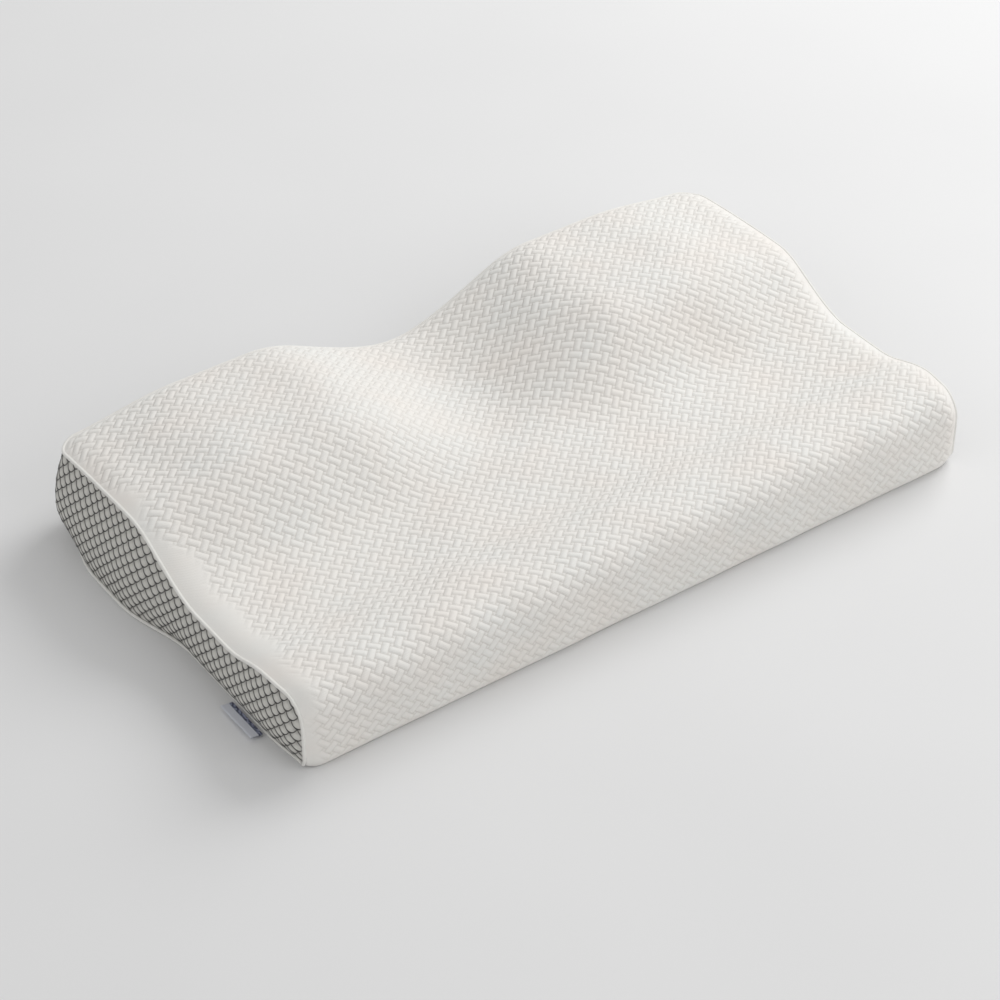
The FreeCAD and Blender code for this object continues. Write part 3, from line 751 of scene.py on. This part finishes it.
def zip_wall(z):
    """How far the back stands out of its upper seam round the zip, where it is kept flat."""
    below = np.clip(BACK_FOOT_ROUND - z, 0, BACK_FOOT_ROUND)
    foot = BACK_FOOT_ROUND - np.sqrt(BACK_FOOT_ROUND ** 2 - below ** 2)
    return BACK_ROUND * (1 - math.cos(SEAM_ANGLE)) - ZIP_SET_BACK - foot


def border_point(run, z, lift=0.0):
    """Point of the border at a run and height, lift outside it."""
    x, y, out_x, out_y = plan_path(run)
    low = lower_seam(run)
    share = (z - low) / (upper_seam(run) - low)
    corner_end = SIDE_RUN + CORNER_RUN
    flat = ease(half_run(run), corner_end - 8, corner_end + 12)
    flat = flat * (1 - ease(z, ZIP_RELIEF_LOW, ZIP_RELIEF_HIGH)) * (1 - ease(share, 0.5, 0.95))
    out = bulge(run, share) * (1 - flat) + zip_wall(z) * flat + lift
    return np.stack([x + out_x * out, y + out_y * out, z], -1)


def border_normal(run, z):
    """Outward direction of the border's surface."""
    step = 0.4
    along = border_point(run + step, z) - border_point(run - step, z)
    up = border_point(run, z + step) - border_point(run, z - step)
    normal = np.cross(up, along)
    normal /= np.linalg.norm(normal, axis=-1, keepdims=True)
    _, _, out_x, out_y = plan_path(run)
    facing = np.sign(normal[..., 0] * out_x + normal[..., 1] * out_y)
    return normal * facing[..., None]


def net_cushion(run, z):
    """1 in the middle of a cell of the net and 0 under its threads."""
    first = 2 * math.pi * (run / NET_PITCH + z / (2 * NET_ROW))
    second = 2 * math.pi * (run / NET_PITCH - z / (2 * NET_ROW))
    return np.clip(0.5 + (np.cos(first) + np.cos(second)) / 4, 0, 1)


def border_ground(runs, low, high, rows):
    """Grid points of a border between two heights given for each run."""
    share = np.linspace(0, 1, rows)
    run = np.repeat(runs, rows)
    z = (low[:, None] + (high - low)[:, None] * share).ravel()
    cushion = net_cushion(run, z)
    points = border_point(run, z, CUSHION * cushion)
    # the third value is the cushion, which the ground material turns into painted shade under the threads
    return points, grid_faces(len(runs), rows), np.stack([run, z, cushion], 1)


def net_threads(first_run, last_run, low_at, high_at):
    """Rows of scallops over a stretch of border: points, quads and cloth places."""
    part = np.linspace(-1, 1, 17)
    swing = NET_DROP * np.abs(part) ** 2.3
    rows = np.arange(0, math.ceil(110 / NET_ROW))
    columns = np.arange(math.floor(first_run / NET_PITCH) - 1, math.ceil(last_run / NET_PITCH) + 1)
    row, column = [grid.ravel() for grid in np.meshgrid(rows, columns)]
    centre = (column + 0.5 * (row % 2)) * NET_PITCH
    base = row * NET_ROW - NET_DROP * 0.65
    wobble = rng.uniform(-NET_WOBBLE, NET_WOBBLE, (len(centre), 2))
    run = centre[:, None] + wobble[:, :1] + part * NET_PITCH / 2
    z = base[:, None] + wobble[:, 1:] + swing
    inside = ((run > first_run) & (run < last_run)
              & (z > low_at(run) + NET_MARGIN) & (z < high_at(run) - NET_MARGIN))
    some = inside.any(axis=1)
    run, z, inside = run[some], z[some], inside[some]

    safe_run = np.clip(run, first_run, last_run)
    safe_z = np.clip(z, low_at(safe_run) + 0.3, high_at(safe_run) - 0.3)
    inside = inside & (to_seam(safe_run, safe_z) > 0.8)
    centre_line = border_point(safe_run, safe_z)
    normal = border_normal(safe_run, safe_z)
    tangent = np.gradient(centre_line, axis=1)
    tangent /= np.maximum(np.linalg.norm(tangent, axis=2, keepdims=True), 1e-9)
    side = np.cross(tangent, normal)
    half_width = NET_WIDTH / 2 * (1.3 - 0.75 * np.abs(part) ** 1.3)
    rise = NET_LIFT * (1.15 - 0.6 * np.abs(part) ** 1.3)
    arch = np.array([(-1, -0.3), (-0.65, 0.65), (0, 1), (0.65, 0.65), (1, -0.3)])
    shape = (centre_line[:, :, None]
             + side[:, :, None] * (arch[:, 0] * half_width[:, None])[None, :, :, None]
             + normal[:, :, None] * (arch[:, 1] * rise[:, None])[None, :, :, None])
    arcs, places, around = shape.shape[:3]
    cloth = np.stack([np.broadcast_to(run[:, :, None], shape.shape[:3]),
                      np.broadcast_to(z[:, :, None], shape.shape[:3]),
                      np.ones(shape.shape[:3])], 3)
    quads = grid_faces(places, around)
    segment = np.repeat(np.arange(places - 1), around - 1)
    kept = (inside[:, :-1] & inside[:, 1:])[:, segment]
    faces = (np.arange(arcs)[:, None, None] * places * around + quads[None])[kept]
    return used_only(shape.reshape(-1, 3), faces, cloth.reshape(-1, 3))


def make_border(name, runs, low_at, high_at, rows, ground, net):
    """One border strip: its knitted ground with the net's threads on it."""
    points, faces, cloth = border_ground(runs, low_at(runs), high_at(runs), rows)
    threads, quads, thread_cloth = net_threads(runs.min(), runs.max(), low_at, high_at)
    piece = mesh_piece(name, np.concatenate([points, threads]),
                       np.concatenate([faces, quads + len(points)]).tolist(), ground,
                       np.concatenate([cloth, thread_cloth]))
    piece.data.materials.append(net)
    slots = np.concatenate([np.zeros(len(faces), int), np.ones(len(quads), int)])
    piece.data.polygons.foreach_set("material_index", slots.astype(np.int32))
    return piece


def zip_edge(height):
    """A level edge of a back strip."""
    return lambda run: np.full(np.shape(run), height)


def make_borders(ground, net):
    """Left and right borders, carried round the back corners, and the two back strips."""
    corner_end = MIDDLE_RUN - (HALF_WIDTH - ZIP_PANEL_END)
    front = SEAM_START + FRONT_FINE * (1 - np.cos(np.linspace(0, math.pi / 2, 24)))
    side_runs = np.arange(front[-1] + RUN_STEP, corner_end - 0.5, RUN_STEP)
    left_runs = np.concatenate([front, side_runs, [corner_end - JOIN_GAP]])
    right_runs = 2 * MIDDLE_RUN - left_runs[::-1]
    back_runs = np.arange(corner_end + JOIN_GAP, 2 * MIDDLE_RUN - corner_end, RUN_STEP)
    low = ZIP_HEIGHT - ZIP_SLOT / 2
    high = ZIP_HEIGHT + ZIP_SLOT / 2
    return {
        "border_left": make_border("left_border", left_runs, lower_seam, upper_seam, SIDE_ROWS,
                                   ground, net),
        "border_right": make_border("right_border", right_runs, lower_seam, upper_seam, SIDE_ROWS,
                                    ground, net),
        "border_back_upper": make_border("back_border_upper", back_runs, zip_edge(high), upper_seam,
                                         UPPER_ROWS, ground, net),
        "border_back_lower": make_border("back_border_lower", back_runs, lower_seam, zip_edge(low),
                                         LOWER_ROWS, ground, net),
    }


# -------------------- piping
def mirrored(points):
    """The right half of a left half's points, going on from its end."""
    return points[::-1] * (-1, 1, 1)


def stood_off(points, outward):
    """Moves seam points out to the cord's middle, between the wall's and the top's directions."""
    tangent = np.gradient(points, axis=0)
    tangent /= np.linalg.norm(tangent, axis=1, keepdims=True)
    upward = np.cross(outward, tangent)
    direction = outward + upward
    direction /= np.linalg.norm(direction, axis=1, keepdims=True)
    return points + direction * PIPING_PROUD


def evenly(points, step):
    """The same line with points about one step apart."""
    length = lengths_along(points)
    at = np.linspace(0, length[-1], round(length[-1] / step))
    return np.stack([np.interp(at, length, points[:, axis]) for axis in range(3)], 1)


def make_upper_piping(material):
    """One cord up the left front edge, round the top of the borders and down the right."""
    half = SEAM_LINE[2:]
    run = np.interp(np.arange(len(half)), np.arange(len(SEAM)) + len(half) - len(SEAM), SEAM[:, 0])
    _, _, out_x, out_y = plan_path(run)
    cord = stood_off(half, np.stack([out_x, out_y, np.zeros_like(out_x)], 1))
    cord = evenly(np.concatenate([cord, mirrored(cord)[1:]]), 2.0)
    for _ in range(3):
        cord[1:-1] = (cord[2:] + 2 * cord[1:-1] + cord[:-2]) / 4
    rings, faces, cloth = tube(cord, PIPING_RADIUS)
    return mesh_piece("upper_piping", rings, faces, material, cloth)


def make_lower_piping(material):
    """One cord along the foot of the borders, just clear of the floor."""
    run = np.append(np.arange(SEAM_START + FRONT_FOOT_ROUND, MIDDLE_RUN - 1, 2.0), MIDDLE_RUN)
    x, y, out_x, out_y = plan_path(run)
    z = np.full_like(x, PIPING_RADIUS + FLOOR_GAP) + ease(run, SIDE_RUN - 20, SIDE_RUN + 20) * 2.6
    out = foot_flare(run) + 0.8
    half = np.stack([x + out_x * out, y + out_y * out, z], 1)
    cord = evenly(np.concatenate([half, mirrored(half)[1:]]), 2.0)
    rings, faces, cloth = tube(cord, PIPING_RADIUS)
    return mesh_piece("lower_piping", rings, faces, material, cloth)


# -------------------- bottom panel
PANEL_RINGS = (0, 1.5, 3.5, 6, 9, 12, 16, 40, 80, 120, 150)   # how far each ring lies in from the edge
PANEL_EDGE = 16            # over which the panel comes down from its seams to the floor
PANEL_GAP = 0.03           # under its flat middle


def make_bottom_panel(material):
    """Plain panel on the floor, in rings from the foot seams and the front hem to its middle."""
    run = np.arange(SEAM_START + 2, MIDDLE_RUN, 3.0)
    side = border_point(run, lower_seam(run))
    hem_cross = np.linspace(-CROSS_END + 2, CROSS_END - 2, 150)
    hem = sample(TOP_POINTS, hem_cross, np.zeros_like(hem_cross))[::-1]
    outline = np.concatenate([side, mirrored(side), hem])
    centre = np.array([0, MIDDLE_Y, 0])
    rings = []
    for inward in PANEL_RINGS:
        share = 1 - inward / MIDDLE_Y
        ring = centre + (outline - centre) * (share, share, 1)
        ring[:, 2] = outline[:, 2] * max(1 - inward / PANEL_EDGE, 0) ** 2 + PANEL_GAP
        rings.append(ring)
    count = len(outline)
    points = np.concatenate(rings + [centre[None] + (0, 0, PANEL_GAP)])
    faces = []
    for ring in range(len(rings) - 1):
        for index in range(count):
            here = ring * count + index
            beside = ring * count + (index + 1) % count
            faces.append((here, here + count, beside + count, beside))
    last = (len(rings) - 1) * count
    faces += [(last + index, len(points) - 1, last + (index + 1) % count) for index in range(count)]
    cloth = np.stack([points[:, 0], points[:, 1], np.ones(len(points))], 1)
    return mesh_piece("base_panel", points, faces, material, cloth)


# -------------------- woven label
LABEL_START = 52.0         # from the front face to the label
LABEL_WIDTH = 40.0         # along the seam
LABEL_STAND = 10.0         # how far it stands out
LABEL_INSET = 2.2          # from the widest side wall to where it is sewn in
LABEL_LAYER = 0.9          # height of its two layers at the seam
LABEL_BAND = 0.36          # share of it that the navy band takes
LAYER_STEPS = 12
LABEL_ROWS = 17


def make_label(material):
    """Folded label that stands out of the left foot seam and lifts a little towards its fold."""
    out = np.concatenate([np.linspace(0, 1, LAYER_STEPS), np.linspace(1, 0, LAYER_STEPS)])
    layer = np.concatenate([np.zeros(LAYER_STEPS), np.ones(LAYER_STEPS)])
    fold = np.sqrt(np.clip(1 - ((out - 0.94) / 0.06).clip(0, 1) ** 2, 0, 1))
    y = np.linspace(LABEL_START, LABEL_START + LABEL_WIDTH, LABEL_ROWS)
    ripple = 0.35 * np.sin(np.linspace(0, 2.2 * math.pi, LABEL_ROWS))
    points = []
    cloth = []
    for side, way in zip(y, ripple):
        x = -HALF_WIDTH - LABEL_INSET - LABEL_STAND * out
        z = 2.4 + 1.6 * out ** 1.5 + (layer - 0.5) * LABEL_LAYER * fold + way * out
        points.append(np.stack([x, np.full_like(x, side), z], 1))
        band = np.where(out < LABEL_BAND, 1.0, 0.0)
        cloth.append(np.stack([out * LABEL_STAND, np.full_like(x, side), band], 1))
    faces = grid_faces(LABEL_ROWS, 2 * LAYER_STEPS)
    return mesh_piece("woven_label_folded", np.concatenate(points), faces.tolist(), material,
                      np.concatenate(cloth))


# -------------------- zip
TOOTH_PITCH = 1.6
TOOTH_HALF = 0.62          # half the thickness of one turn
TOOTH_LEAN = 0.3           # how far a turn leans over its half


def make_coil(name, node, sign, material):
    """Row of rounded nylon turns along the edge of one tape."""
    low, high = [np.array(corner) * 1000 + (0, MIDDLE_Y, 0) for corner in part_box(node)]
    count = int((high[0] - low[0]) / TOOTH_PITCH)
    u = np.linspace(0, math.pi, 7)
    v = np.linspace(0, 2 * math.pi, 9)[:-1]
    points = []
    faces = []
    middle = (low + high) / 2
    half = (high - low) / 2
    for index in range(count):
        x = low[0] + TOOTH_PITCH * (index + 0.5)
        first = len(points)
        for angle in u:
            for around in v:
                ring = math.sin(angle) ** 0.5
                points.append((x + TOOTH_HALF * ring * math.cos(around) + sign * TOOTH_LEAN * math.cos(angle),
                               middle[1] + half[1] * ring * math.sin(around),
                               middle[2] - sign * half[2] * math.cos(angle)))
        for ring in range(len(u) - 1):
            for side in range(len(v)):
                beside = (side + 1) % len(v)
                here = first + ring * len(v)
                faces.append((here + side, here + beside, here + len(v) + beside, here + len(v) + side))
    piece = mesh_piece(name, points, faces, material)
    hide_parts(node)
    return piece


# -------------------- putting it together
def finish_piece(piece, body, slot, *nodes):
    """Says which body a piece rides on and hides the nodes that it stands for; slot is not used."""
    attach(piece, body)
    if nodes:
        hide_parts(*nodes)


def repaint(node, material):
    """Gives a CAD node that stays in view a procedural material."""
    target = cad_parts[node]
    if not target.material_slots:
        target.data.materials.append(material)
    for slot in target.material_slots:
        slot.material = material


def dress():
    """Makes the pieces that stand for CAD nodes and repaints the nodes that stay."""
    top = make_top_panel(woven_top_material())
    finish_piece(top, "pillow", "quilted_knit", "cover_top_panel")
    for node, piece in make_borders(border_material(), net_material()).items():
        finish_piece(piece, "pillow", "border_mesh", node)
    base = make_bottom_panel(base_cloth_material())
    finish_piece(base, "pillow", "base_cloth", "cover_bottom_panel")
    piping = piping_material()
    finish_piece(make_upper_piping(piping), "pillow", "piping_cloth", "piping_upper")
    finish_piece(make_lower_piping(piping), "pillow", "piping_cloth", "piping_lower")
    label = make_label(label_material())
    finish_piece(label, "pillow", "label_weave", "woven_label")
    nylon = coil_material()
    finish_piece(make_coil("coil_upper", "zip_coil_upper", 1, nylon), "pillow", "zip_coil")
    finish_piece(make_coil("coil_lower", "zip_coil_lower", -1, nylon), "pillow", "zip_coil")
    metal = metal_material()
    for node in ("zip_slider", "zip_pull", "zip_stop_closed_end", "zip_stop_open_end"):
        repaint(node, metal)
    tape = tape_material()
    repaint("zip_tape_upper", tape)
    repaint("zip_tape_lower", tape)
    liner = liner_material()
    repaint("inner_liner_upper", liner)
    repaint("inner_liner_lower", liner)
    repaint("foam_core", foam_material())
    repaint("care_label", care_label_material())


# -------------------- stage, light and camera
WORLD_STRENGTH = 0.56
SENSOR = 36
FOCAL_SHARE = 2869 / 1000   # focal length in picture widths
CAMERA_PLACE = (-1.0117, -1.3930, 1.3673)
CAMERA_LOOK = (0.4546, 0.6352, -0.6244)


def floor_material():
    """Pale grey, hardly uneven."""
    cloth = Cloth("studio_floor", roughness=0.8)
    grain = cloth.noise(cloth.object_place(), 3, 2)
    cloth.colour(cloth.blend(cloth.range(grain, 0.3, 0.7), srgb(226, 226, 226), srgb(229, 229, 229)))
    return cloth.material


def make_floor():
    """Plain floor, 12 m by 12 m."""
    reach = 6000.0
    corners = [(-reach, -reach, 0), (reach, -reach, 0), (reach, reach, 0), (-reach, reach, 0)]
    mesh_piece("studio_floor", corners, [(0, 1, 2, 3)], floor_material(), smooth=False)


def make_world():
    """Even white light from all round."""
    world = bpy.data.worlds.new("studio")
    world.use_nodes = True
    background = world.node_tree.nodes["Background"]
    background.inputs["Color"].default_value = (1.0, 1.0, 1.0, 1)
    background.inputs["Strength"].default_value = WORLD_STRENGTH
    bpy.context.scene.world = world


def add_area(name, place, size, power):
    """Square soft light aimed at the middle of the pillow."""
    light = bpy.data.lights.new(name, "AREA")
    light.size = size
    light.energy = power
    lamp = bpy.data.objects.new(name, light)
    lamp.location = place
    toward = mathutils.Vector((0, 0, 0.04)) - mathutils.Vector(place)
    lamp.rotation_euler = toward.to_track_quat("-Z", "Y").to_euler()
    bpy.context.scene.collection.objects.link(lamp)


def make_camera():
    """Camera at the photo's angle, from a perspective fit of the pillow's outline."""
    data = bpy.data.cameras.new("camera")
    data.sensor_width = SENSOR
    data.lens = FOCAL_SHARE * SENSOR
    data.clip_end = 50
    camera = bpy.data.objects.new("camera", data)
    camera.location = CAMERA_PLACE
    look = mathutils.Vector(CAMERA_LOOK)
    camera.rotation_euler = look.to_track_quat("-Z", "Y").to_euler()
    bpy.context.scene.collection.objects.link(camera)
    bpy.context.scene.camera = camera


dress()
make_floor()
make_world()
add_area("key", (2.0, 0.45, 1.7), 1.7, 38)
add_area("fill", (0.9, -2.4, 1.6), 2.0, 15)
add_area("left_fill", (-2.2, -0.2, 1.9), 1.6, 3)
make_camera()
bpy.context.scene.view_settings.view_transform = "Standard"
